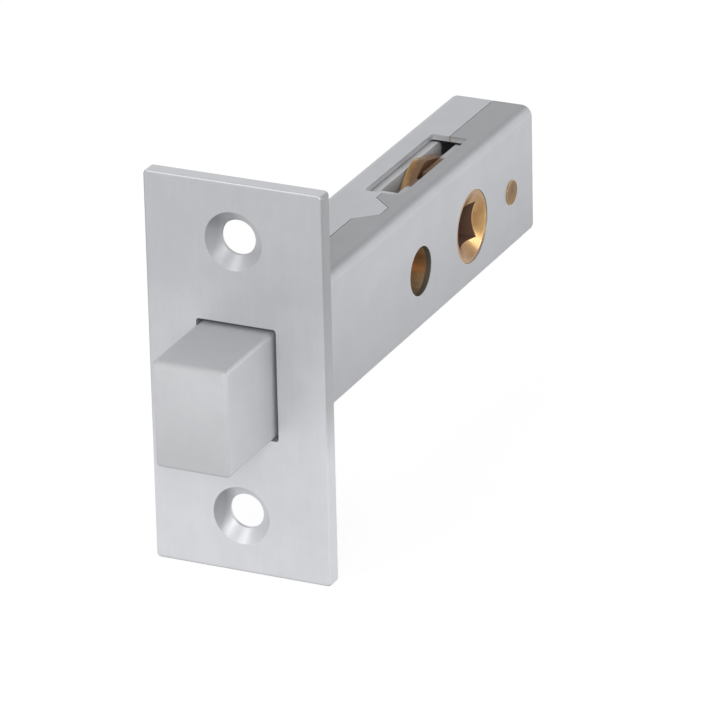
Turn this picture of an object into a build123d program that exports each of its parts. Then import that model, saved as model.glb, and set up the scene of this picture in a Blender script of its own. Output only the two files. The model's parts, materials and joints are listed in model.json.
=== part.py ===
from build123d import *
from math import acos, cos, degrees, radians, sin
import os

# Privacy latch for a door: a square bolt on a faceplate, drawn back by a turn of a 5 mm spindle.
# All lengths are millimetres. The origin is the centre of the faceplate's front face.
# +X points to the right side of the case, +Y into the door along the case, and +Z up.
# The parts stand as they do with the bolt thrown. The bolt points along -Y.

# Faceplate, screwed to the edge of the door
plate_height = 54.0
plate_width = 25.0
plate_thickness = 2.1
plate_corner_radius = 0.6
plate_edge_radius = 0.35
screw_spacing = 38.0
screw_hole_radius = 2.4
screw_head_radius = 4.0
screw_head_angle = 90.0

# Bolt, a casting with a square head and a forked tail
bolt_height = 14.7
bolt_projection = 13.6
bolt_edge_radius = 0.6
bolt_gap = 0.4
bolt_side_gap = 0.2
shoulder_gap = 0.1
tail_edge_radius = 0.6

# Case, one sheet folded into a square tube with its seam along the top.
# The seam and the window lie a little to the right of the middle.
case_width = 12.4
case_height = 18.6
case_end = 80.5
sheet = 0.8
fold_radius = 1.5
seam_gap = 0.12
seam_offset = 0.4
tail_clearance = 0.25
tongue_start = 34.2
tongue_root_length = 8.0
tongue_tip_length = 2.6
tongue_reach = 2.9
window_start = 44.0
window_length = 22.0
window_half_width = 2.65
window_corner_radius = 0.5

# Tenons on the front end of the case, staked into blind slots behind the faceplate
tenon_length = 1.3
side_tenon_width = 2.4
side_tenon_offset = 3.3
floor_tenon_width = 5.0
tenon_gap = 0.1

# End flap, folded in from the left wall
flap_margin = 2.1
flap_relief = 0.25
flap_root = 4.0

# Follower, a brass turning with a cam that carries the drive pin.
# The cam's angles are taken from the line through the pin, away from the bolt.
backset = 60.0
axis_height = -0.7
journal_radius = 5.05
journal_clearance = 0.05
journal_recess = 0.1
boss_radius = 5.5
boss_end_gap = 0.3
disc_floor_gap = 0.3
cam_rise = 0.4
cam_half_thickness = 0.9
lobe_start = -38.0
lobe_end = 27.0
heel_end = 95.0
heel_roof_gap = 0.4
cam_corner_radius = 0.7
lobe_corner_radius = 2.5
cam_side_gap = 0.35
socket_width = 5.1
dish_radius = 4.55
dish_depth = 1.2
flat_depth = 0.5
running_gap = 0.35

# Drive pin in the cam. It stands out on the right and works in a notch of that arm of the fork.
turn = 90.0
pin_radius = 0.8
cam_rim = 0.8
pin_reach = 2.7
pin_end_gap = 0.3
notch_gap = 0.4
fork_rear_gap = 0.5
fork_corner_radius = 1.0
fork_corner_share = 0.4

# Through hole for a furniture bolt, lined by a brass bush between the walls
post_distance = 43.15
post_radius = 3.4
bush_wall = 0.7
bush_gap = 0.45

# Rear pillar, a brass rivet with a shouldered body
pillar_distance = 73.2
pillar_radius = 2.8
pillar_end_radius = 1.75
pillar_head = 0.15
pillar_head_edge = 0.1

# Hairpin spring round the pillar. Its long leg bears on a flat of the follower.
wire_radius = 0.4
coil_gap = 0.35
coil_least_pitch = 1.0
coil_side_gap = 0.3
leg_gap = 0.02
leg_half_run = 3.4
tip_length = 1.2
tip_drop = 0.9
foot_gap = 0.03

# Sizes that follow from the ones above
case_half_width = case_width / 2
case_half_height = case_height / 2
inner_half_width = case_half_width - sheet
inner_half_height = case_half_height - sheet
inner_fold_radius = fold_radius - sheet
bolt_width = 2 * (inner_half_width - bolt_side_gap)
tail_half_height = inner_half_height - tail_clearance
flap_height = case_height - 2 * flap_margin
disc_radius = inner_half_height + axis_height - disc_floor_gap
cam_radius = case_half_height - axis_height + cam_rise
heel_radius = inner_half_height - axis_height - heel_roof_gap
crank_radius = cam_radius - cam_rim - pin_radius
throw = 2 * crank_radius * sin(radians(turn / 2))
pin_y = backset - crank_radius * sin(radians(turn / 2))
pin_z = axis_height + crank_radius * cos(radians(turn / 2))
boss_half_width = inner_half_width - boss_end_gap
shoulder_y = plate_thickness + shoulder_gap
trunk_end = backset - boss_radius - running_gap - throw
slot_start = pin_y + cam_radius * sin(radians(lobe_start)) - running_gap
fork_bottom = axis_height + boss_radius + running_gap
fork_end = case_end - sheet - fork_rear_gap - throw
fork_corner = min(fork_corner_radius, fork_corner_share * (tail_half_height - fork_bottom))
coil_start = wire_radius + coil_side_gap - inner_half_width
coil_end = -cam_half_thickness - coil_side_gap - wire_radius
coil_turns = int((coil_end - coil_start) / coil_least_pitch)
coil_pitch = (coil_end - coil_start) / coil_turns
window_end = window_start + window_length


def block(x_range, y_range, z_range):
    """A box between two values on each axis."""
    size = [high - low for low, high in (x_range, y_range, z_range)]
    middle = [(high + low) / 2 for low, high in (x_range, y_range, z_range)]
    return Pos(*middle) * Box(*size)


def rod(radius, x_range, y, z):
    """A cylinder along X between two values of x."""
    length = x_range[1] - x_range[0]
    return Pos((x_range[0] + x_range[1]) / 2, y, z) * Rot(0, 90, 0) * Cylinder(radius, length)


def along_y(sketch, y_start, y_end):
    """A sketch drawn on X and Z, extruded into the door."""
    return extrude(Plane.XZ.offset(-y_start) * sketch, amount=-(y_end - y_start))


def across(sketch, half_width):
    """A sketch drawn on Y and Z, extruded equally to the left and right."""
    return extrude(Plane.YZ * sketch, amount=half_width, both=True)


def rim(radius, start, end):
    """An arc about the origin between two angles, which grow clockwise from straight up."""
    angles = [radians(angle) for angle in (start, (start + end) / 2, end)]
    return ThreePointArc(*[(radius * sin(angle), radius * cos(angle)) for angle in angles])


def tenon_ranges():
    """Where each tenon lies: its range on X, and its range on Z within the sheet."""
    roof = (inner_half_height, case_half_height)
    floor = (-case_half_height, -inner_half_height)
    ranges = [((-floor_tenon_width / 2, floor_tenon_width / 2), floor)]
    for middle in (-side_tenon_offset, side_tenon_offset):
        ranges.append(((middle - side_tenon_width / 2, middle + side_tenon_width / 2), roof))
    return ranges


def make_faceplate():
    """Flat plate with two countersunk holes and the opening for the bolt."""
    plate = along_y(RectangleRounded(plate_width, plate_height, plate_corner_radius), 0, plate_thickness)
    plate = fillet(plate.faces().sort_by(Axis.Y)[0].edges(), plate_edge_radius)
    opening = RectangleRounded(bolt_width + 2 * bolt_gap, bolt_height + 2 * bolt_gap, bolt_gap)
    plate -= along_y(opening, -1, plate_thickness + 1)
    front = Plane(origin=(0, 0, 0), x_dir=(1, 0, 0), z_dir=(0, -1, 0))
    screw_hole = CounterSinkHole(screw_hole_radius, screw_head_radius, 2 * plate_thickness, screw_head_angle)
    for height in (-screw_spacing / 2, screw_spacing / 2):
        plate -= front * Pos(0, height, 0) * screw_hole
    slot_floor = plate_thickness - tenon_length - tenon_gap
    for x_range, z_range in tenon_ranges():
        plate -= block(x_range, (slot_floor, plate_thickness + 1), z_range)
    return plate


def make_case():
    """Folded sheet tube with its seam, window, end flap, tenons and side holes."""
    outer = RectangleRounded(case_width, case_height, fold_radius)
    inner = RectangleRounded(2 * inner_half_width, 2 * inner_half_height, inner_fold_radius)
    case = along_y(outer - inner, plate_thickness, case_end)
    for x_range, z_range in tenon_ranges():
        case += block(x_range, (plate_thickness - tenon_length, plate_thickness), z_range)

    # The seam steps round a tapered tongue of the left flange, then ends at the window.
    tongue_end = tongue_start + tongue_root_length
    tongue_slope = (tongue_root_length - tongue_tip_length) / 2
    front_seam = Polyline(
        (0, plate_thickness - 1),
        (0, tongue_start),
        (tongue_reach, tongue_start + tongue_slope),
        (tongue_reach, tongue_end - tongue_slope),
        (0, tongue_end),
        (0, window_start + 1),
    )
    rear_seam = Line((0, window_end - 1), (0, case_end + 1))
    window = RectangleRounded(2 * window_half_width, window_length, window_corner_radius)
    roof_cuts = trace(front_seam, seam_gap) + trace(rear_seam, seam_gap)
    roof_cuts += Pos(0, window_start + window_length / 2) * window
    roof = Plane.XY.offset(inner_half_height - sheet / 2) * Pos(seam_offset, 0)
    case -= extrude(roof * roof_cuts, amount=2 * sheet)

    # The end flap turns in from the left wall, between two relief cuts.
    relief = flap_height / 2 + flap_relief
    relief_x = (-case_half_width, -inner_half_width + inner_fold_radius)
    case -= block(relief_x, (case_end - flap_root, case_end), (-relief, relief))
    flap_outer = Polyline(
        (-case_half_width, case_end - flap_root),
        (-case_half_width, case_end),
        (inner_half_width - flap_relief, case_end),
        (inner_half_width - flap_relief, case_end - sheet),
        (-inner_half_width, case_end - sheet),
        (-inner_half_width, case_end - flap_root),
        close=True,
    )
    flap = make_face(flap_outer)
    outer_corner = flap.vertices().sort_by_distance((-case_half_width, case_end, 0))[0]
    flap = fillet(outer_corner, fold_radius)
    inner_corner = flap.vertices().sort_by_distance((-inner_half_width, case_end - sheet, 0))[0]
    flap = fillet(inner_corner, inner_fold_radius)
    case += extrude(flap, amount=flap_height / 2, both=True)

    wall_span = (-case_half_width - 1, case_half_width + 1)
    case -= rod(journal_radius + journal_clearance, wall_span, backset, axis_height)
    case -= rod(post_radius, wall_span, post_distance, axis_height)
    case -= rod(pillar_end_radius, wall_span, pillar_distance, axis_height)
    return case


def make_bolt():
    """Square head, trunk slotted round the bush, and a fork over the follower."""
    head = block(
        (-bolt_width / 2, bolt_width / 2),
        (-bolt_projection, shoulder_y),
        (-bolt_height / 2, bolt_height / 2),
    )
    rear_edges = head.faces().sort_by(Axis.Y)[-1].edges()
    head = fillet([edge for edge in head.edges() if edge not in rear_edges], bolt_edge_radius)

    side_view = Polyline(
        (shoulder_y, -tail_half_height),
        (trunk_end, -tail_half_height),
        (trunk_end, fork_bottom),
        (fork_end, fork_bottom),
        (fork_end, tail_half_height),
        (shoulder_y, tail_half_height),
        close=True,
    )
    tail_face = make_face(side_view)
    rear_corners = tail_face.vertices().group_by(Axis.X)[-1]
    tail_face = fillet(rear_corners, fork_corner)
    foot_corner = tail_face.vertices().sort_by_distance((trunk_end, -tail_half_height, 0))[0]
    tail_face = fillet(foot_corner, fork_corner)
    post_slot_radius = post_radius + bush_wall + bush_gap
    slot_centre = post_distance - throw
    tail_face -= Pos(slot_centre, axis_height) * Circle(post_slot_radius)
    slot_run = trunk_end + 1 - slot_centre
    open_end = Rectangle(slot_run, 2 * post_slot_radius)
    tail_face -= Pos(slot_centre + slot_run / 2, axis_height) * open_end
    tail = across(tail_face, bolt_width / 2)
    tail_section = RectangleRounded(bolt_width, 2 * tail_half_height, tail_edge_radius)
    bolt = head + (tail & along_y(tail_section, shoulder_y, fork_end))

    # The cam runs in a slot between the arms, with a round relief in front for its disc.
    slot = (-cam_half_thickness - cam_side_gap, cam_half_thickness + cam_side_gap)
    bolt -= block(slot, (slot_start, fork_end + 1), (-case_half_height, case_half_height))
    bolt -= rod(disc_radius + running_gap, slot, backset - throw, axis_height)
    notch_half_width = pin_radius + notch_gap
    bolt -= block(
        (0, pin_reach + pin_end_gap),
        (pin_y - notch_half_width, pin_y + notch_half_width),
        (fork_bottom - 1, case_half_height),
    )
    return bolt


def make_follower():
    """Brass follower with two journals, a dished square socket, flats and the cam."""
    journal_end = case_half_width - journal_recess
    half_profile = Polyline(
        (0, 0),
        (0, disc_radius),
        (cam_half_thickness, disc_radius),
        (cam_half_thickness, boss_radius),
        (boss_half_width, boss_radius),
        (boss_half_width, journal_radius),
        (journal_end, journal_radius),
        (journal_end, dish_radius),
        (journal_end - dish_depth, socket_width / 2),
        (journal_end - dish_depth, 0),
        close=True,
    )
    half = revolve(make_face(half_profile), Axis.X)
    body = half + mirror(half, Plane.YZ)

    # The cam is drawn with its pin at the top, then tilted towards the bolt.
    # A flank falls from the lobe to the heel, which it meets as a tangent.
    heel_start = lobe_end + degrees(acos(heel_radius / cam_radius))
    lobe = rim(cam_radius, lobe_start, lobe_end)
    heel = rim(heel_radius, heel_start, heel_end)
    flank = Line(lobe @ 1, heel @ 0)
    sides = Polyline(heel @ 1, (0, 0), lobe @ 0)
    cam_face = make_face(lobe + flank + heel + sides)
    corners = ((lobe @ 0, cam_corner_radius), (lobe @ 1, lobe_corner_radius), (heel @ 1, cam_corner_radius))
    for corner, radius in corners:
        nearest = cam_face.vertices().sort_by_distance(corner)[0]
        cam_face = fillet(nearest, radius)
    cam_face -= Pos(0, crank_radius) * Circle(pin_radius)
    body += across(Rot(0, 0, turn / 2) * cam_face, cam_half_thickness)

    body -= Box(case_width, socket_width, socket_width)

    # Two flats on the left of the cam meet the spring at both ends of the turn.
    flat_distance = boss_radius - flat_depth
    left_side = (-boss_half_width, -cam_half_thickness)
    body -= block(left_side, (-boss_radius, boss_radius), (-boss_radius, -flat_distance))
    body -= block(left_side, (flat_distance, boss_radius), (-boss_radius, boss_radius))
    return Pos(0, backset, axis_height) * body


def make_bush():
    """Plain brass tube that lines the furniture bolt's way from wall to wall."""
    walls = (-inner_half_width, inner_half_width)
    outside = rod(post_radius + bush_wall, walls, post_distance, axis_height)
    return outside - rod(post_radius, walls, post_distance, axis_height)


def make_pillar():
    """Brass rivet: a shouldered body between the walls and a headed end in each wall."""
    body = rod(pillar_radius, (-inner_half_width, inner_half_width), pillar_distance, axis_height)
    reach = case_half_width + pillar_head
    ends = rod(pillar_end_radius, (-reach, reach), pillar_distance, axis_height)
    end_faces = ends.faces().sort_by(Axis.X)
    ends = fillet(end_faces[0].edges() + end_faces[-1].edges(), pillar_head_edge)
    return body + ends


def wire(points):
    """Round wire along straight runs, with a ball at each bend."""
    runs = None
    for start, end in zip(points, points[1:]):
        section = Plane(origin=start, z_dir=Vector(*end) - Vector(*start)) * Circle(wire_radius)
        run = sweep(section, Line(start, end)) + Pos(*end) * Sphere(wire_radius)
        runs = run if runs is None else runs + run
    return runs


def make_spring():
    """Hairpin spring: a coil loose on the pillar, a foot on the floor and a leg on the follower."""
    coil_radius = pillar_radius + coil_gap + wire_radius
    helix = Helix(coil_pitch, coil_end - coil_start, coil_radius, lefthand=True)
    section = Plane(origin=helix @ 0, z_dir=helix % 0) * Circle(wire_radius)
    coil = sweep(section, helix, is_frenet=True)

    # The helix starts on +X of its own frame. That side turns to the bottom of the pillar.
    place = Pos(coil_start, pillar_distance, axis_height) * Rot(0, 90, 0)
    coil = place * coil
    low = axis_height - coil_radius
    flat_z = axis_height - boss_radius + flat_depth
    leg_z = flat_z - wire_radius - leg_gap
    leg = wire([
        (coil_end, pillar_distance, low),
        (coil_end, backset + leg_half_run, leg_z),
        (coil_end, backset - leg_half_run, leg_z),
        (coil_end, backset - leg_half_run - tip_length, leg_z - tip_drop),
    ])
    floor_z = -inner_half_height + wire_radius + foot_gap
    foot = wire([
        (coil_start, pillar_distance, low),
        (coil_start, pillar_distance + coil_radius, floor_z),
    ])
    ends = Pos(coil_start, pillar_distance, low) * Sphere(wire_radius)
    ends += Pos(coil_end, pillar_distance, low) * Sphere(wire_radius)
    return coil + leg + foot + ends


os.makedirs("parts", exist_ok=True)
pieces = {
    "faceplate": make_faceplate(),
    "case": make_case(),
    "bolt": make_bolt(),
    "follower": make_follower(),
    "drive_pin": rod(pin_radius, (-cam_half_thickness, pin_reach), pin_y, pin_z),
    "post_bush": make_bush(),
    "rear_pillar": make_pillar(),
    "hairpin_spring": make_spring(),
}
for name, piece in pieces.items():
    export_step(piece, f"parts/{name}.step")
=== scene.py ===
"""Dresses the privacy latch: satin plated steel, turned brass and spring wire, on a pale studio floor."""
from math import cos, pi, sin
import json

import bpy
from mathutils import Matrix, Vector


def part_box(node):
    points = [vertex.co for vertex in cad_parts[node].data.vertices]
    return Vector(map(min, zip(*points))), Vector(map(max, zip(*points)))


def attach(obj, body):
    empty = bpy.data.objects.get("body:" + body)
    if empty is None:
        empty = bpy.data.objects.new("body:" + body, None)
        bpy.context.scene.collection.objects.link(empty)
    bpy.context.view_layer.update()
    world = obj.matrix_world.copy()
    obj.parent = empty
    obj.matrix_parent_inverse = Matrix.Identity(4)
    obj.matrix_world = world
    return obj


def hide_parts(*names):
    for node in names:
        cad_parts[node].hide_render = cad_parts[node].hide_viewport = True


MM = 0.001


def mm(*values):
    """Millimetres as metres."""
    return tuple(value * MM for value in values)


# Camera, solved from the straight edges in the photograph
IMAGE_SIDE = 720
CAMERA_PLACE = Vector((334.89, -674.311, 327.473)) * MM
CAMERA_FORWARD = Vector((-0.391168, 0.830542, -0.396471))
CAMERA_RIGHT = Vector((0.908284, 0.417824, -0.021059))
FOCAL_PIXELS = 6451.45
SENSOR_WIDTH = 36.0
CLIP_START = 0.05
CLIP_END = 10.0

# Studio: a pale floor under a dome that is greyer overhead
FLOOR_Z = -27.0 * MM
FLOOR_RADIUS = 2.6
FLOOR_SIDES = 96
FLOOR_TONE = 0.18
FLOOR_GLOW = 0.86
DOME_RADIUS = 3.0
DOME_SIDES = 64
DOME_ROWS = 16
HORIZON_HEIGHT = 0.9
HORIZON_TONE = 0.88
ZENITH_HEIGHT = 2.6
ZENITH_TONE = 0.52
AIR_COLOUR = (0.6, 0.6, 0.6, 1)
WHITE = (1, 1, 1, 1)

# Soft round lights: place and width in metres, and power in watts
LIGHTS = {
    "key_light": ((-0.7, -1.0, 1.3), 0.9, 6.0),
    "side_light": ((1.28, 0.6, 0.28), 0.5, 3.1),
    "fill_light": ((0.5, -1.05, 0.5), 0.6, 6.0),
}
LIGHT_AIM = (0, 0.035, 0)

# Where most values of a noise lie
NOISE_RANGE = (0.3, 0.7)
INNER_NOISE_RANGE = (0.35, 0.65)
UPPER_NOISE_RANGE = (0.4, 0.7)

# Detail and roughness of the noises
FINE_NOISE = (4.0, 0.65)
SPECKLE_NOISE = (3.0, 0.6)
LATHE_NOISE = (2.0, 0.6)

# Grain. A noise's scale is its cells to the metre. The three numbers of a grain multiply the
# coordinates, so a small one draws the grain out along its axis.
GRAIN_SCALE = 6000.0
CASTING_GRAIN_SCALE = 9000.0
BRASS_GRAIN_SCALE = 4200.0
BARE_STEEL_GRAIN_SCALE = 2600.0
COARSE_GRAIN_SHARE = 0.23
FINE_WEIGHT = 0.6
COARSE_WEIGHT = 0.4
MOTTLE_SCALE = 260.0
BRASS_MOTTLE_SCALE = 420.0
EVEN_GRAIN = (1, 1, 1)
LENGTHWISE_GRAIN = (1, 0.04, 1)
UPRIGHT_GRAIN = (1, 1, 0.05)
RING_GRAIN = (9, 1, 1)
GRAIN_DEPTH = 0.004 * MM

# Lathe marks
RING_SCALE = 5200.0
STREAK_SCALE = 3600.0
STREAK_WEIGHT = 0.6
TURNING_DEPTH = 0.012 * MM

# Edge wear, which starts where a rounded normal leaves the surface's own, by the cosine between them
WEAR_RADIUS = 0.35 * MM
BRASS_WEAR_RADIUS = 0.25 * MM
WEAR_START = 0.995
WEAR_FULL = 0.90
WEAR_SPECKLE_SCALE = 900.0
WEAR_LEAST = 0.35
EDGE_WEAR = 0.6

# Grime, by the share of the sky that a corner sees
GRIME_REACH = 1.2 * MM
BRASS_GRIME_REACH = 2.5 * MM
SHELTER_RANGE = (0.75, 0.25)
GRIME_SPECKLE_SCALE = 700.0
GRIME_LEAST = 0.5

# How metallic a finish is, and how rough it gets. A spread is how far its roughness goes with the grain.
STEEL_LUSTRE = 0.5
BRASS_LUSTRE = 0.95
MATT_LUSTRE = 0.2
STEEL_SPREAD = (-0.05, 0.07)
BRASS_SPREAD = (-0.06, 0.08)
BARE_STEEL_SPREAD = (-0.05, 0.1)
WORN_SMOOTHNESS = 0.06
FILM_ROUGHNESS = 0.2
TARNISH_ROUGHNESS = 0.3

# Colours of the metals. The dull tone of a brass is the darker one of its mottling.
PLATE_TONE = (0.71, 0.72, 0.748, 1)
SHEET_TONE = (0.55, 0.56, 0.585, 1)
BOLT_TONE = (0.66, 0.67, 0.69, 1)
CASTING_TONE = (0.60, 0.605, 0.62, 1)
FOLLOWER_TONE = (0.47, 0.29, 0.125, 1)
FOLLOWER_DULL_TONE = (0.34, 0.19, 0.08, 1)
BUSH_TONE = (0.88, 0.60, 0.33, 1)
BUSH_DULL_TONE = (0.74, 0.48, 0.25, 1)
PILLAR_TONE = (0.24, 0.132, 0.045, 1)
PILLAR_DULL_TONE = (0.17, 0.09, 0.03, 1)
PIN_TONE = (0.62, 0.62, 0.63, 1)
WIRE_TONE = (0.30, 0.30, 0.32, 1)
STEEL_MOTTLE_TONE = 0.965
STEEL_GRAIN_TONES = (0.955, 1.03)
BARE_STEEL_GRAIN_TONE = 0.75

# Colours of wear and dirt, and of painted shade and highlights
RUBBED_STEEL = (0.70, 0.71, 0.73, 1)
EDGE_PAINTED_SHADE = (0.46, 0.465, 0.475, 1)
STEEL_FILM_AND_PAINTED_SHADE = (0.34, 0.335, 0.33, 1)
WINDOW_PAINTED_SHADE = (0.17, 0.092, 0.046, 1)
SOCKET_PAINTED_SHADE = (0.17, 0.095, 0.062, 1)
HOLE_PAINTED_SHADE = (0.10, 0.088, 0.07, 1)
BLACK_OIL = (0.05, 0.045, 0.04, 1)
RUBBED_BRASS_AND_HIGHLIGHT = (0.90, 0.63, 0.25, 1)
TARNISH_AND_PAINTED_SHADE = (0.34, 0.205, 0.125, 1)

# Below, a painted shade or highlight is the share of its brightness that a surface keeps where light or shade
# is painted into its colour. A band holds two distances, where a mask starts and where it is full, counted
# from a plane, a rim, an axis or the origin.
# Sizes of the solids that their boxes don't give are repeated from the part's source.

# Case: painted shade darkens its right flange up to the seam, which steps round the tongue, its walls towards
# the floor and the wall of its post hole
SEAM_OFFSET = 0.4 * MM
SEAM_BAND = mm(0, 0.05)
TONGUE_START = 34.2 * MM
TONGUE_END = 42.2 * MM
TONGUE_SLOPE = 2.7 * MM
TONGUE_REACH = 2.9 * MM
FLANGE_BAND = mm(0.45, 0.08)
FLANGE_PAINTED_SHADE = 0.66
WALL_FADE_DROP = 4.0 * MM
WALL_FOOT_PAINTED_SHADE = 0.82
POST_HOLE_RADIUS = 3.4 * MM
POST_HOLE_BAND = mm(0.12, 0.04)
SUNK_BAND = mm(0.04, 0.12)

# Faceplate: a painted sheen brightens it towards its foot and a painted highlight its top edge, and painted
# shade darkens its upper side edges and the left flanks of its countersinks
PAINTED_SHEEN_BAND = mm(-9.0, 14.0)
PLATE_TOP_PAINTED_SHADE = 0.74
PLATE_RIM_BAND = mm(0.3, 0.1)
PLATE_CREST_PAINTED_HIGHLIGHT = 0.92
UPPER_EDGE_BAND = mm(-10.0, -2.0)
PLATE_EDGE_PAINTED_SHADE = 0.69
SCREW_HEIGHT = 19.0 * MM
SCREW_HEAD_RADIUS = 4.0 * MM
SCREW_HEAD_BAND = mm(0.05, -0.05)
CONE_BAND = mm(1.9, 1.7)
FLANK_BAND = mm(-2.8, -1.6)
FLANK_TILT = 0.15
LOWER_TO_UPPER_BAND = mm(-1.0, 1.0)
UPPER_FLANK_PAINTED_SHADE = 0.67
LOWER_FLANK_PAINTED_SHADE = 0.5

# Bolt: painted shade on the head's front, top and rounded edge, and on the tail's right arm round the pin
HEAD_TOP = 7.35 * MM
NOSE_BAND = mm(0.7, 0.2)
NOSE_FADE = mm(-5.5, 5.0)
NOSE_TOP_PAINTED_SHADE = 0.95
NOSE_FOOT_PAINTED_SHADE = 0.82
CROWN_BAND = mm(0.5, 0.1)
CROWN_FRONT_PAINTED_SHADE = 0.86
CROWN_REAR_PAINTED_SHADE = 0.72
ROUNDING_BAND = mm(0.6, 0.25)
CASTING_BAND = mm(0, 1.0)
RIGHT_ARM_BAND = mm(0.6, 1.0)
RIGHT_ARM_PAINTED_SHADE = 0.5
PIN_SHADE_OFFSET = 1.5 * MM
PIN_SHADE_BAND = mm(6.1, 5.1)
BOLT_SHADE_RAG_SCALE = 1500.0
BOLT_SHADE_RAG_REACH = 0.4 * MM

# Follower and bush: painted shade on the cam's rim, the dished ends, the socket and the bore. Their bands are
# counted from their own middles.
BRASS_SHADE_RAG_SCALE = 1200.0
CAM_SHADE_RAG_REACH = 0.2 * MM
CAM_RIGHT_BAND = mm(-0.55, 0.1)
CAM_RIM_BAND = mm(6.0, 7.5)
DISH_BAND = mm(4.2, 4.8)
DISH_UPPER_BAND = mm(1.0, 4.5)
DISH_LOWER_BAND = mm(-2.6, -4.6)
DISH_FRONT_BAND = mm(1.5, -3.5)
DISH_PAINTED_SHADE = 0.7
SOCKET_HALF_WIDTH = 2.55 * MM
SOCKET_BAND = mm(0.1, 0)
BORE_SHADE_RAG_REACH = 0.3 * MM
BORE_UPPER_BAND = mm(0.8, 2.8)
BORE_LOWER_BAND = mm(-1.7, -3.3)
BORE_PAINTED_SHADE = 0.8

# Hairpin spring. Its leg passes under the spindle's axis.
WIRE_RADIUS = 0.4 * MM
WIRE_SIDES = 12
BEND_RADIUS = 0.8 * MM
BEND_STEPS = 5
COIL_RADIUS = 3.55 * MM
COIL_TURNS = 3
COIL_STEPS = 24
LEG_DROP = 5.42 * MM
LEG_HALF_RUN = 3.4 * MM
TIP_LENGTH = 1.2 * MM
TIP_DROP = 0.9 * MM

# Kinds of socket on a node group
FLOAT = "NodeSocketFloat"
VECTOR = "NodeSocketVector"


def middle_of(node):
    """The middle of a CAD node's box."""
    low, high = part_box(node)
    return (Vector(low) + Vector(high)) / 2


def place_camera():
    """The camera stands where the photograph was taken from."""
    data = bpy.data.cameras.new("camera")
    data.sensor_width = SENSOR_WIDTH
    data.lens = FOCAL_PIXELS * SENSOR_WIDTH / IMAGE_SIDE
    data.clip_start = CLIP_START
    data.clip_end = CLIP_END
    camera = bpy.data.objects.new("camera", data)
    forward = CAMERA_FORWARD.normalized()
    up = CAMERA_RIGHT.cross(forward).normalized()
    right = forward.cross(up)
    turn = Matrix((right, up, -forward)).transposed().to_4x4()
    camera.matrix_world = Matrix.Translation(CAMERA_PLACE) @ turn
    bpy.context.scene.collection.objects.link(camera)
    bpy.context.scene.camera = camera


class Tree:
    """Short ways to add and link the nodes of one material or group."""

    def __init__(self, tree):
        self.tree = tree
        self.tree.nodes.clear()

    def node(self, kind, inputs=None, **settings):
        made = self.tree.nodes.new(kind)
        for name, value in settings.items():
            setattr(made, name, value)
        for key, value in (inputs or {}).items():
            self.feed(value, made.inputs[key])
        return made

    def feed(self, value, socket):
        if isinstance(value, bpy.types.NodeSocket):
            self.tree.links.new(value, socket)
        else:
            socket.default_value = value

    def math(self, operation, first, second=0.0, clamp=False):
        made = self.node("ShaderNodeMath", {0: first, 1: second}, operation=operation, use_clamp=clamp)
        return made.outputs[0]

    def plus(self, first, second, clamp=False):
        return self.math("ADD", first, second, clamp)

    def minus(self, first, second):
        return self.math("SUBTRACT", first, second)

    def times(self, first, second, clamp=False):
        return self.math("MULTIPLY", first, second, clamp)

    def larger(self, first, second):
        return self.math("MAXIMUM", first, second)

    def smaller(self, first, second):
        return self.math("MINIMUM", first, second)

    def size(self, value):
        """The value without its sign."""
        return self.math("ABSOLUTE", value)

    def span(self, value, low, high, to_low=0.0, to_high=1.0):
        """The value's place between low and high, as a number from to_low to to_high."""
        made = self.node("ShaderNodeMapRange", {0: value, 1: low, 2: high, 3: to_low, 4: to_high}, clamp=True)
        return made.outputs[0]

    def over(self, value, plane, band):
        """A mask that starts and is full at the band's two distances over a plane."""
        start, full = band
        return self.span(value, plane + start, plane + full)

    def under(self, value, plane, band):
        """A mask that starts and is full at the band's two distances under a plane."""
        start, full = band
        return self.span(value, plane - start, plane - full)

    def one_but(self, mask, value):
        """One where the mask is zero, and the value where it is one."""
        return self.span(mask, 0.0, 1.0, 1.0, value)

    def split(self, vector):
        """A vector's X, Y and Z."""
        return self.node("ShaderNodeSeparateXYZ", {0: vector}).outputs

    def length(self, vector):
        return self.node("ShaderNodeVectorMath", {0: vector}, operation="LENGTH").outputs["Value"]

    def mix_colour(self, share, first, second, blend="MIX"):
        made = self.node("ShaderNodeMix", data_type="RGBA", blend_type=blend)
        self.feed(share, made.inputs["Factor"])
        self.feed(first, made.inputs[6])
        self.feed(second, made.inputs[7])
        return made.outputs[2]

    def dim(self, colour, share):
        """The colour times one number."""
        grey = self.node("ShaderNodeCombineColor", {0: share, 1: share, 2: share}).outputs[0]
        return self.mix_colour(1.0, colour, grey, "MULTIPLY")

    def noise(self, vector, scale, detail=2.0, roughness=0.5):
        inputs = {"Vector": vector, "Scale": scale, "Detail": detail, "Roughness": roughness}
        return self.node("ShaderNodeTexNoise", inputs).outputs["Fac"]

    def ragged(self, vector, scale, reach):
        """A distance from minus reach to reach, which makes the rim of a painted patch ragged."""
        return self.span(self.noise(vector, scale, *SPECKLE_NOISE), *NOISE_RANGE, -reach, reach)

    def around(self, noise, middle, spread):
        """A noise spread out around a middle value, by the spread's two distances from it."""
        below, above = spread
        return self.span(noise, *NOISE_RANGE, middle + below, middle + above)


GROUPS = {}


def group(name, inputs, outputs):
    """An empty shader group that puts out numbers. Returns its tree, its inputs and its output node."""
    tree = bpy.data.node_groups.new(name, "ShaderNodeTree")
    for label, kind, value in inputs:
        socket = tree.interface.new_socket(label, in_out="INPUT", socket_type=kind)
        if value is not None:
            socket.default_value = value
    for label in outputs:
        tree.interface.new_socket(label, in_out="OUTPUT", socket_type=FLOAT)
    build = Tree(tree)
    entry = tree.nodes.new("NodeGroupInput")
    leave = tree.nodes.new("NodeGroupOutput")
    GROUPS[name] = tree
    return build, entry.outputs, leave


def use(build, name, **inputs):
    """One shared group placed in a material with its own values."""
    made = build.node("ShaderNodeGroup", node_tree=GROUPS[name])
    for label, value in inputs.items():
        build.feed(value, made.inputs[label.replace("_", " ")])
    return made.outputs


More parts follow.
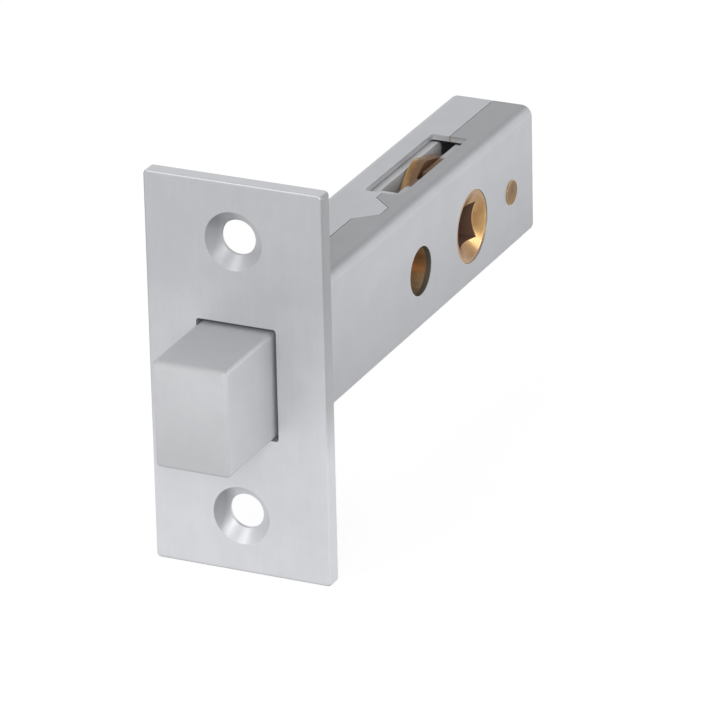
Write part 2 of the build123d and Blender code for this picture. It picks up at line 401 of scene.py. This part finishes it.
def make_grain_group():
    """Fine directional scratches: a noise stretched along one axis, over a softer mottling."""
    inputs = (
        ("Vector", VECTOR, None),
        ("Stretch", VECTOR, EVEN_GRAIN),
        ("Scale", FLOAT, GRAIN_SCALE),
        ("Mottle Scale", FLOAT, MOTTLE_SCALE),
    )
    build, entry, leave = group("satin_grain", inputs, ("Grain", "Mottle"))
    factors = {0: entry["Vector"], 1: entry["Stretch"]}
    stretched = build.node("ShaderNodeVectorMath", factors, operation="MULTIPLY").outputs[0]
    fine = build.noise(stretched, entry["Scale"], *FINE_NOISE)
    coarse = build.noise(stretched, build.times(entry["Scale"], COARSE_GRAIN_SHARE), *SPECKLE_NOISE)
    both = build.plus(build.times(fine, FINE_WEIGHT), build.times(coarse, COARSE_WEIGHT))
    build.feed(both, leave.inputs["Grain"])
    build.feed(build.noise(entry["Vector"], entry["Mottle Scale"]), leave.inputs["Mottle"])


def make_edge_group():
    """Where a metal is rubbed bright on edges and corners, broken up by a noise."""
    inputs = (("Vector", VECTOR, None), ("Radius", FLOAT, WEAR_RADIUS), ("Amount", FLOAT, 1.0))
    build, entry, leave = group("edge_wear", inputs, ("Mask",))
    rounded = build.node("ShaderNodeBevel", {"Radius": entry["Radius"]}, samples=4).outputs[0]
    surface = build.node("ShaderNodeNewGeometry").outputs["Normal"]
    same = build.node("ShaderNodeVectorMath", {0: rounded, 1: surface}, operation="DOT_PRODUCT")
    turned = build.span(same.outputs["Value"], WEAR_START, WEAR_FULL)
    noise = build.noise(entry["Vector"], WEAR_SPECKLE_SCALE, *SPECKLE_NOISE)
    speckle = build.span(noise, *INNER_NOISE_RANGE, WEAR_LEAST, 1.0)
    mask = build.times(build.times(turned, speckle), entry["Amount"], clamp=True)
    build.feed(mask, leave.inputs["Mask"])


def make_turning_group():
    """Rings left by a lathe, about the X axis of the vector that comes in."""
    inputs = (
        ("Vector", VECTOR, None),
        ("Ring Scale", FLOAT, RING_SCALE),
        ("Length Scale", FLOAT, STREAK_SCALE),
    )
    build, entry, leave = group("turning_marks", inputs, ("Rings", "Streaks"))
    parts = build.split(entry["Vector"])
    across = build.math("POWER", parts["Y"], 2.0)
    height = build.math("POWER", parts["Z"], 2.0)
    radius = build.math("SQRT", build.plus(across, height))
    marks = {
        "Rings": build.times(radius, entry["Ring Scale"]),
        "Streaks": build.times(parts["X"], entry["Length Scale"]),
    }
    for label, distance in marks.items():
        line = build.node("ShaderNodeCombineXYZ", {0: distance}).outputs[0]
        build.feed(build.noise(line, 1.0, *LATHE_NOISE), leave.inputs[label])


def make_grime_group():
    """Dust and old oil that settle in corners and gaps."""
    inputs = (("Vector", VECTOR, None), ("Reach", FLOAT, GRIME_REACH), ("Amount", FLOAT, 0.5))
    build, entry, leave = group("corner_grime", inputs, ("Mask",))
    sky = build.node("ShaderNodeAmbientOcclusion", {"Distance": entry["Reach"]}, samples=6, only_local=False)
    shut = build.span(sky.outputs["AO"], *SHELTER_RANGE)
    noise = build.noise(entry["Vector"], GRIME_SPECKLE_SCALE, *SPECKLE_NOISE)
    speckle = build.span(noise, *NOISE_RANGE, GRIME_LEAST, 1.0)
    mask = build.times(build.times(shut, speckle), entry["Amount"], clamp=True)
    build.feed(mask, leave.inputs["Mask"])


def start_material(name):
    """A new node material with its tree, its object coordinates and its output node."""
    material = bpy.data.materials.new(name)
    material.use_nodes = True
    build = Tree(material.node_tree)
    place = build.node("ShaderNodeTexCoord").outputs["Object"]
    output = build.node("ShaderNodeOutputMaterial")
    return material, build, place, output


def centred(build, place, middle):
    """Object coordinates counted from a point of the piece."""
    return build.node("ShaderNodeMapping", {"Vector": place, "Location": -middle}).outputs[0]


def bump(build, height, distance, strength=1.0):
    """The surface's normal, tilted by a height."""
    inputs = {"Height": height, "Distance": distance, "Strength": strength}
    return build.node("ShaderNodeBump", inputs).outputs[0]


def darker(tone, share):
    """A colour with its three channels times one number."""
    return tuple(share * channel for channel in tone[:3]) + (1,)


def plated_steel(name, tone, shade, stretch, roughness, grain_scale=GRAIN_SCALE, film=0.4):
    """Satin plating on steel: directional grain, faint mottling, rubbed edges and dull film in corners."""
    material, build, place, output = start_material(name)
    grain = use(build, "satin_grain", Vector=place, Stretch=stretch, Scale=grain_scale)
    wear = use(build, "edge_wear", Vector=place, Amount=EDGE_WEAR)["Mask"]
    grime = use(build, "corner_grime", Vector=place, Amount=film)["Mask"]
    mottle = build.span(grain["Mottle"], *INNER_NOISE_RANGE)
    colour = build.mix_colour(mottle, darker(tone, STEEL_MOTTLE_TONE), tone)
    colour = build.dim(colour, build.span(grain["Grain"], *NOISE_RANGE, *STEEL_GRAIN_TONES))
    colour = build.mix_colour(wear, colour, RUBBED_STEEL)
    # The shade hook paints shade and light into the colour, and gives a mask of places made matt.
    colour, dull = shade(build, place, colour)
    colour = build.mix_colour(grime, colour, STEEL_FILM_AND_PAINTED_SHADE)
    matt = build.larger(grime, dull)
    rough = build.around(grain["Grain"], roughness, STEEL_SPREAD)
    rough = build.minus(rough, build.times(wear, WORN_SMOOTHNESS))
    rough = build.plus(rough, build.times(matt, FILM_ROUGHNESS), clamp=True)
    shader = build.node("ShaderNodeBsdfPrincipled", {
        "Base Color": colour,
        "Roughness": rough,
        "Metallic": build.span(matt, 0.0, 1.0, STEEL_LUSTRE, MATT_LUSTRE),
        "Normal": bump(build, grain["Grain"], GRAIN_DEPTH, strength=0.6),
    })
    build.feed(shader.outputs[0], output.inputs["Surface"])
    return material


def from_x_axis(build, place, middle):
    """Distance from an axis that runs along X through a point of the piece."""
    factors = {0: centred(build, place, middle), 1: (0, 1, 1)}
    offset = build.node("ShaderNodeVectorMath", factors, operation="MULTIPLY").outputs[0]
    return build.length(offset)


def sheet_shade(build, place, colour):
    """Painted shade darkens the right flange up to the stepped seam, and the walls towards the floor.

    The wall of the post hole gets a dark painted shade and a matt finish.
    """
    parts = build.split(place)
    low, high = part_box("case")
    rising = build.span(parts["Y"], TONGUE_START, TONGUE_START + TONGUE_SLOPE)
    falling = build.span(parts["Y"], TONGUE_END, TONGUE_END - TONGUE_SLOPE)
    step = build.times(build.smaller(rising, falling), TONGUE_REACH)
    right = build.over(build.minus(parts["X"], step), SEAM_OFFSET, SEAM_BAND)
    top = build.under(parts["Z"], high[2], FLANGE_BAND)
    # Painted shade: the right flange is darker than the left.
    flange = build.one_but(build.times(right, top), FLANGE_PAINTED_SHADE)
    # Painted shade: the walls darken towards the floor.
    wall = build.span(parts["Z"], low[2], high[2] - WALL_FADE_DROP, WALL_FOOT_PAINTED_SHADE, 1.0)
    colour = build.dim(colour, build.times(flange, wall))
    # Painted shade: the wall of the post hole is coloured dark, and made matt.
    from_post = from_x_axis(build, place, middle_of("post_bush"))
    inside = build.over(from_post, POST_HOLE_RADIUS, POST_HOLE_BAND)
    sunk = build.under(build.size(parts["X"]), high[0], SUNK_BAND)
    hole_shade = build.times(inside, sunk)
    return build.mix_colour(hole_shade, colour, HOLE_PAINTED_SHADE), hole_shade


def countersink_shade(build, parts):
    """One over the plate, and less on the left flank of each countersink, where shade is painted."""
    screw = build.times(build.math("SIGN", parts["Z"]), SCREW_HEIGHT)
    height = build.minus(parts["Z"], screw)
    from_screw = build.length(build.node("ShaderNodeCombineXYZ", {0: parts["X"], 1: height}).outputs[0])
    inside = build.over(from_screw, SCREW_HEAD_RADIUS, SCREW_HEAD_BAND)
    ahead = build.span(parts["Y"], *CONE_BAND)
    leftward = build.minus(parts["X"], build.times(height, FLANK_TILT))
    dull = build.span(parts["Z"], *LOWER_TO_UPPER_BAND, LOWER_FLANK_PAINTED_SHADE, UPPER_FLANK_PAINTED_SHADE)
    flank = build.span(leftward, *FLANK_BAND, dull, 1.0)
    return build.one_but(build.times(inside, ahead), flank)


def plate_shade(build, place, colour):
    """Painted sheen brightens the plate towards its foot and a painted highlight its top edge, and painted
    shade darkens its upper side edges.
    """
    parts = build.split(place)
    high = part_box("faceplate")[1]
    crest = build.under(parts["Z"], high[2], PLATE_RIM_BAND)
    # Painted sheen: the face is darker at the top and brighter towards its foot.
    face = build.span(parts["Z"], *PAINTED_SHEEN_BAND, 1.0, PLATE_TOP_PAINTED_SHADE)
    # Painted highlight along the plate's top edge.
    face = build.larger(face, build.times(crest, PLATE_CREST_PAINTED_HIGHLIGHT))
    side = build.under(build.size(parts["X"]), high[0], PLATE_RIM_BAND)
    upper = build.span(parts["Z"], *UPPER_EDGE_BAND)
    # Painted shade on the upper side edges of the plate.
    edge = build.one_but(build.times(side, upper), PLATE_EDGE_PAINTED_SHADE)
    face = build.times(build.times(face, edge), countersink_shade(build, parts))
    return build.dim(colour, face), 0.0


def bolt_shade(build, place, colour):
    """Painted shade darkens the head's top, the low part of its front and the edge between them, which is
    also matt.

    The tail is as cast, with painted shade on its right arm and a brown painted shade round the pin.
    """
    parts = build.split(place)
    front_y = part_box("bolt")[0][1]
    plate_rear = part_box("faceplate")[1][1]
    nose = build.over(parts["Y"], front_y, NOSE_BAND)
    # Painted shade on the head's front, darker towards its foot.
    front = build.span(parts["Z"], *NOSE_FADE, NOSE_FOOT_PAINTED_SHADE, NOSE_TOP_PAINTED_SHADE)
    crown = build.under(parts["Z"], HEAD_TOP, CROWN_BAND)
    # Painted shade on the head's top, darker towards the rear.
    top = build.span(parts["Y"], front_y, plate_rear, CROWN_FRONT_PAINTED_SHADE, CROWN_REAR_PAINTED_SHADE)
    colour = build.dim(colour, build.smaller(build.one_but(nose, front), build.one_but(crown, top)))
    ahead = build.over(parts["Y"], front_y, ROUNDING_BAND)
    rounding = build.times(ahead, build.under(parts["Z"], HEAD_TOP, ROUNDING_BAND))
    # Painted shade on the rounded edge between the front and the top, which is also made matt.
    colour = build.mix_colour(rounding, colour, EDGE_PAINTED_SHADE)
    raw = build.over(parts["Y"], plate_rear, CASTING_BAND)
    colour = build.mix_colour(raw, colour, CASTING_TONE)
    right = build.times(raw, build.span(parts["X"], *RIGHT_ARM_BAND))
    # Painted shade on the tail's right arm, under the right flange.
    colour = build.mix_colour(build.times(right, RIGHT_ARM_PAINTED_SHADE), colour, STEEL_FILM_AND_PAINTED_SHADE)
    # Brown painted shade on the right arm round the pin, under the window.
    pin_shade_distance = build.size(build.minus(parts["Y"], middle_of("drive_pin").y + PIN_SHADE_OFFSET))
    pin_shade_distance = build.plus(pin_shade_distance, build.ragged(place, BOLT_SHADE_RAG_SCALE, BOLT_SHADE_RAG_REACH))
    window_shade = build.times(build.span(pin_shade_distance, *PIN_SHADE_BAND), right)
    return build.mix_colour(window_shade, colour, WINDOW_PAINTED_SHADE), build.larger(raw, rounding)


def turned_brass(name, middle, tone, dull_tone, roughness, edge=BRASS_WEAR_RADIUS, shelter=0.9, shade=None):
    """Plain brass off the lathe: rings on its faces, streaks on its flanks and tarnish in its corners."""
    material, build, place, output = start_material(name)
    from_axis = centred(build, place, middle)
    marks = use(build, "turning_marks", Vector=from_axis)
    grain = use(build, "satin_grain", Vector=place, Scale=BRASS_GRAIN_SCALE, Mottle_Scale=BRASS_MOTTLE_SCALE)
    wear = use(build, "edge_wear", Vector=place, Radius=edge)["Mask"]
    grime = use(build, "corner_grime", Vector=place, Reach=BRASS_GRIME_REACH, Amount=shelter)["Mask"]
    colour = build.mix_colour(build.span(grain["Mottle"], *UPPER_NOISE_RANGE), tone, dull_tone)
    # Rubbed edges, and on the follower also a painted highlight on the cam's rim.
    colour = build.mix_colour(wear, colour, RUBBED_BRASS_AND_HIGHLIGHT)
    colour = build.mix_colour(grime, colour, TARNISH_AND_PAINTED_SHADE)
    # The shade hook paints shade into the colour, and its mask makes those places matt.
    if shade:
        colour, painted_shade_mask = shade(build, from_axis, colour)
        grime = build.larger(grime, painted_shade_mask)
    height = build.plus(marks["Rings"], build.times(marks["Streaks"], STREAK_WEIGHT))
    rough = build.around(marks["Rings"], roughness, BRASS_SPREAD)
    rough = build.plus(rough, build.times(grime, TARNISH_ROUGHNESS), clamp=True)
    shader = build.node("ShaderNodeBsdfPrincipled", {
        "Base Color": colour,
        "Roughness": rough,
        "Metallic": build.span(grime, 0.0, 1.0, BRASS_LUSTRE, MATT_LUSTRE),
        "Normal": bump(build, height, TURNING_DEPTH, strength=0.7),
    })
    build.feed(shader.outputs[0], output.inputs["Surface"])
    return material


def follower_shade(build, from_axis, colour):
    """Brown painted shade on the right of the cam's rim, painted shade on the dished ends' upper, lower and
    front sides, and a dark painted socket.
    """
    parts = build.split(from_axis)
    # Brown painted shade on the right of the cam's rim, which is also made matt.
    rightward = build.plus(parts["X"], build.ragged(from_axis, BRASS_SHADE_RAG_SCALE, CAM_SHADE_RAG_REACH))
    window_shade = build.times(build.span(rightward, *CAM_RIGHT_BAND), build.span(parts["Z"], *CAM_RIM_BAND))
    end = build.span(build.size(parts["X"]), *DISH_BAND)
    upper = build.span(parts["Z"], *DISH_UPPER_BAND)
    lower = build.span(parts["Z"], *DISH_LOWER_BAND)
    front = build.span(parts["Y"], *DISH_FRONT_BAND)
    dish_shade = build.times(build.larger(upper, build.larger(lower, front)), end)
    # Painted shade on the upper, lower and front sides of each dished end.
    colour = build.mix_colour(build.times(dish_shade, DISH_PAINTED_SHADE), colour, TARNISH_AND_PAINTED_SHADE)
    from_middle = build.larger(build.size(parts["Y"]), build.size(parts["Z"]))
    socket = build.over(from_middle, SOCKET_HALF_WIDTH, SOCKET_BAND)
    # Painted shade: the socket's walls are coloured dark, and made matt.
    colour = build.mix_colour(socket, colour, SOCKET_PAINTED_SHADE)
    return build.mix_colour(window_shade, colour, WINDOW_PAINTED_SHADE), build.larger(window_shade, socket)


def bush_shade(build, from_axis, colour):
    """Painted shade at the top and the bottom of the bore, which are also made matt."""
    height = build.split(from_axis)["Z"]
    height = build.plus(height, build.ragged(from_axis, BRASS_SHADE_RAG_SCALE, BORE_SHADE_RAG_REACH))
    upper = build.span(height, *BORE_UPPER_BAND)
    lower = build.span(height, *BORE_LOWER_BAND)
    # Painted shade at the top and the bottom of the bore.
    hole_shade = build.times(build.larger(upper, lower), BORE_PAINTED_SHADE)
    return build.mix_colour(hole_shade, colour, HOLE_PAINTED_SHADE), hole_shade


def ground_steel(name, tone, roughness):
    """Bare steel with fine rings, for the drive pin and the spring wire."""
    material, build, place, output = start_material(name)
    grain = use(build, "satin_grain", Vector=place, Stretch=RING_GRAIN, Scale=BARE_STEEL_GRAIN_SCALE)
    grime = use(build, "corner_grime", Vector=place, Amount=0.6)["Mask"]
    streaks = build.span(grain["Grain"], *NOISE_RANGE)
    colour = build.mix_colour(streaks, darker(tone, BARE_STEEL_GRAIN_TONE), tone)
    colour = build.mix_colour(grime, colour, BLACK_OIL)
    shader = build.node("ShaderNodeBsdfPrincipled", {
        "Base Color": colour,
        "Roughness": build.around(grain["Grain"], roughness, BARE_STEEL_SPREAD),
        "Metallic": 1.0,
        "Normal": bump(build, grain["Grain"], GRAIN_DEPTH),
    })
    build.feed(shader.outputs[0], output.inputs["Surface"])
    return material


def seen_directly(build):
    """One where the camera, a mirror or a lens looks straight at the studio."""
    path = build.node("ShaderNodeLightPath").outputs
    seen = build.larger(path["Is Camera Ray"], path["Is Glossy Ray"])
    return build.larger(seen, path["Is Transmission Ray"])


def floor_material():
    """A pale floor that keeps a soft shadow."""
    material, build, _, output = start_material("studio_floor")
    matt = build.node("ShaderNodeBsdfDiffuse", {"Color": (FLOOR_TONE, FLOOR_TONE, FLOOR_TONE, 1)})
    strength = build.times(seen_directly(build), FLOOR_GLOW)
    glow = build.node("ShaderNodeEmission", {"Color": WHITE, "Strength": strength})
    both = build.node("ShaderNodeAddShader", {0: matt.outputs[0], 1: glow.outputs[0]})
    build.feed(both.outputs[0], output.inputs["Surface"])
    return material


def dome_material():
    """A pale wall all round, bright at the horizon and greyer overhead."""
    material, build, place, output = start_material("studio_wall")
    tone = build.span(build.split(place)["Z"], HORIZON_HEIGHT, ZENITH_HEIGHT, HORIZON_TONE, ZENITH_TONE)
    glow = build.node("ShaderNodeEmission", {"Color": WHITE, "Strength": tone})
    build.feed(glow.outputs[0], output.inputs["Surface"])
    return material


def mesh_object(name, points, edges, faces, material=None):
    """A new object in the scene, with a mesh of its own name."""
    mesh = bpy.data.meshes.new(name)
    mesh.from_pydata(points, edges, faces)
    if material:
        mesh.materials.append(material)
    made = bpy.data.objects.new(name, mesh)
    bpy.context.scene.collection.objects.link(made)
    return made


def ring_of_points(radius, sides, height):
    """Points spaced evenly round the Z axis."""
    turns = [2 * pi * i / sides for i in range(sides)]
    return [(radius * cos(turn), radius * sin(turn), height) for turn in turns]


def make_floor():
    """A flat disc under the latch."""
    rim = ring_of_points(FLOOR_RADIUS, FLOOR_SIDES, FLOOR_Z)
    return mesh_object("studio_floor", rim, [], [list(range(FLOOR_SIDES))], floor_material())


def make_dome():
    """A half sphere open at the bottom, its faces inwards."""
    points = []
    for row in range(DOME_ROWS):
        lift = pi / 2 * row / DOME_ROWS
        points += ring_of_points(DOME_RADIUS * cos(lift), DOME_SIDES, FLOOR_Z + DOME_RADIUS * sin(lift))
    top = len(points)
    points.append((0, 0, FLOOR_Z + DOME_RADIUS))
    faces = []
    for first in range(0, top - DOME_SIDES, DOME_SIDES):
        above = first + DOME_SIDES
        for i in range(DOME_SIDES):
            j = (i + 1) % DOME_SIDES
            faces.append((first + i, above + i, above + j, first + j))
    last = top - DOME_SIDES
    faces += [(last + i, top, last + (i + 1) % DOME_SIDES) for i in range(DOME_SIDES)]
    made = mesh_object("studio_wall", points, [], faces, dome_material())
    made.data.shade_smooth()
    return made


def soft_light(name, place, size, power):
    """A round area light that looks at the middle of the latch."""
    data = bpy.data.lights.new(name, "AREA")
    data.shape = "DISK"
    data.size = size
    data.energy = power
    lamp = bpy.data.objects.new(name, data)
    lamp.location = place
    lamp.rotation_euler = (Vector(LIGHT_AIM) - Vector(place)).to_track_quat("-Z", "Y").to_euler()
    bpy.context.scene.collection.objects.link(lamp)


def build_studio():
    """The air, the floor, the dome and the lights."""
    world = bpy.data.worlds.new("studio_air")
    world.use_nodes = True
    world.node_tree.nodes["Background"].inputs["Color"].default_value = AIR_COLOUR
    bpy.context.scene.world = world
    make_floor()
    make_dome()
    for name, (place, size, power) in LIGHTS.items():
        soft_light(name, place, size, power)


def make_wire_tree():
    """Geometry nodes that bend a round wire along a path of straight edges."""
    tree = bpy.data.node_groups.new("wire_along_path", "GeometryNodeTree")
    sockets = (
        ("Geometry", "NodeSocketGeometry"),
        ("Wire Radius", FLOAT),
        ("Bend Radius", FLOAT),
        ("Sides", "NodeSocketInt"),
        ("Material", "NodeSocketMaterial"),
    )
    for label, kind in sockets:
        tree.interface.new_socket(label, in_out="INPUT", socket_type=kind)
    tree.interface.new_socket("Geometry", in_out="OUTPUT", socket_type="NodeSocketGeometry")
    build = Tree(tree)
    entry = tree.nodes.new("NodeGroupInput").outputs
    leave = tree.nodes.new("NodeGroupOutput")
    path = build.node("GeometryNodeMeshToCurve", {"Mesh": entry["Geometry"]})
    bent = build.node("GeometryNodeFilletCurve", {
        "Curve": path.outputs["Curve"],
        "Radius": entry["Bend Radius"],
        "Limit Radius": True,
        "Count": BEND_STEPS,
    }, mode="POLY")
    ring = build.node("GeometryNodeCurvePrimitiveCircle", {
        "Resolution": entry["Sides"],
        "Radius": entry["Wire Radius"],
    })
    wire = build.node("GeometryNodeCurveToMesh", {
        "Curve": bent.outputs["Curve"],
        "Profile Curve": ring.outputs["Curve"],
        "Fill Caps": True,
    })
    smooth = build.node("GeometryNodeSetShadeSmooth", {"Geometry": wire.outputs["Mesh"]})
    real = build.node("GeometryNodeRealizeInstances", {"Geometry": smooth.outputs["Geometry"]})
    dressed = build.node("GeometryNodeSetMaterial", {
        "Geometry": real.outputs["Geometry"],
        "Material": entry["Material"],
    })
    build.feed(dressed.outputs["Geometry"], leave.inputs["Geometry"])
    return tree


def set_input(modifier, name, value):
    """Sets a named input of a geometry nodes modifier by its identifier."""
    for item in modifier.node_group.interface.items_tree:
        if item.item_type == "SOCKET" and item.in_out == "INPUT" and item.name == name:
            modifier[item.identifier] = value


def plain_mesh(source, name):
    """The evaluated object as a plain mesh object at the origin."""
    bpy.context.view_layer.update()
    evaluated = source.evaluated_get(bpy.context.evaluated_depsgraph_get())
    made = bpy.data.objects.new(name, bpy.data.meshes.new_from_object(evaluated))
    bpy.context.scene.collection.objects.link(made)
    bpy.data.objects.remove(source)
    return made


def spring_path(spindle):
    """Foot, coil and leg of the hairpin spring, from its box and the axes that it lies about."""
    low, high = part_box("hairpin_spring")
    pillar = middle_of("rear_pillar")
    start = low[0] + WIRE_RADIUS
    end = high[0] - WIRE_RADIUS
    points = [Vector((start, high[1] - WIRE_RADIUS, low[2] + WIRE_RADIUS))]
    steps = COIL_TURNS * COIL_STEPS
    for i in range(steps + 1):
        angle = 2 * pi * i / COIL_STEPS
        across = start + (end - start) * i / steps
        along = pillar.y - COIL_RADIUS * sin(angle)
        points.append(Vector((across, along, pillar.z - COIL_RADIUS * cos(angle))))
    leg_z = spindle.z - LEG_DROP
    leg_end = spindle.y - LEG_HALF_RUN
    points.append(Vector((end, spindle.y + LEG_HALF_RUN, leg_z)))
    points.append(Vector((end, leg_end, leg_z)))
    points.append(Vector((end, leg_end - TIP_LENGTH, leg_z - TIP_DROP)))
    return points


def make_spring(spindle, material):
    """The hairpin spring as one smooth wire in place of the CAD solid."""
    points = spring_path(spindle)
    edges = [(i, i + 1) for i in range(len(points) - 1)]
    path = mesh_object("spring_path", points, edges, [])
    modifier = path.modifiers.new("wire", "NODES")
    modifier.node_group = make_wire_tree()
    set_input(modifier, "Wire Radius", WIRE_RADIUS)
    set_input(modifier, "Bend Radius", BEND_RADIUS)
    set_input(modifier, "Sides", WIRE_SIDES)
    set_input(modifier, "Material", material)
    spring = plain_mesh(path, "bent_wire_spring")
    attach(spring, "frame")
    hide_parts("hairpin_spring")


def dress_cad_nodes(nodes, spindle):
    """Gives each CAD node its own finish."""
    pillar = middle_of("rear_pillar")
    post = middle_of("post_bush")
    finishes = {
        "faceplate": plated_steel(
            "plated_faceplate", PLATE_TONE, plate_shade,
            stretch=UPRIGHT_GRAIN, roughness=0.40),
        "case": plated_steel(
            "plated_sheet", SHEET_TONE, sheet_shade,
            stretch=LENGTHWISE_GRAIN, roughness=0.38),
        "bolt": plated_steel(
            "plated_bolt", BOLT_TONE, bolt_shade,
            stretch=EVEN_GRAIN, roughness=0.40, grain_scale=CASTING_GRAIN_SCALE, film=0.1),
        "follower": turned_brass(
            "turned_follower", spindle, FOLLOWER_TONE, FOLLOWER_DULL_TONE,
            # Its wider rubbed edges also paint the highlight on the cam's rim.
            roughness=0.27, edge=0.5 * MM, shade=follower_shade),
        "post_bush": turned_brass(
            "turned_bush", post, BUSH_TONE, BUSH_DULL_TONE,
            roughness=0.34, shelter=0.2, shade=bush_shade),
        "rear_pillar": turned_brass(
            "riveted_pillar", pillar, PILLAR_TONE, PILLAR_DULL_TONE, roughness=0.34),
        "drive_pin": ground_steel("ground_pin", PIN_TONE, roughness=0.25),
    }
    for name, material in finishes.items():
        slots = nodes[name].data.materials
        slots.clear()
        slots.append(material)


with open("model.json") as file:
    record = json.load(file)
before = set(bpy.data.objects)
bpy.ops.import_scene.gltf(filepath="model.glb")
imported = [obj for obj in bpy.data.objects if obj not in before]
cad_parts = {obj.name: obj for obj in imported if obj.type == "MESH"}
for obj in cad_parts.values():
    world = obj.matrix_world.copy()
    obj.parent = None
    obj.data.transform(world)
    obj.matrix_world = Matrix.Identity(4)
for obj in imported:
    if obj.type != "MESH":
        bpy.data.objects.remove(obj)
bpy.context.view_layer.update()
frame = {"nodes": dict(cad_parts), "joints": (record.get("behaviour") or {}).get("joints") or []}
joints = {joint["name"]: joint for joint in frame["joints"]}
spindle_axis = Vector(joints["follower_turn"]["pos_m"])
place_camera()
make_grain_group()
make_edge_group()
make_turning_group()
make_grime_group()
build_studio()
dress_cad_nodes(frame["nodes"], spindle_axis)
make_spring(spindle_axis, ground_steel("spring_wire", WIRE_TONE, roughness=0.35))
bpy.context.scene.view_settings.view_transform = "Standard"
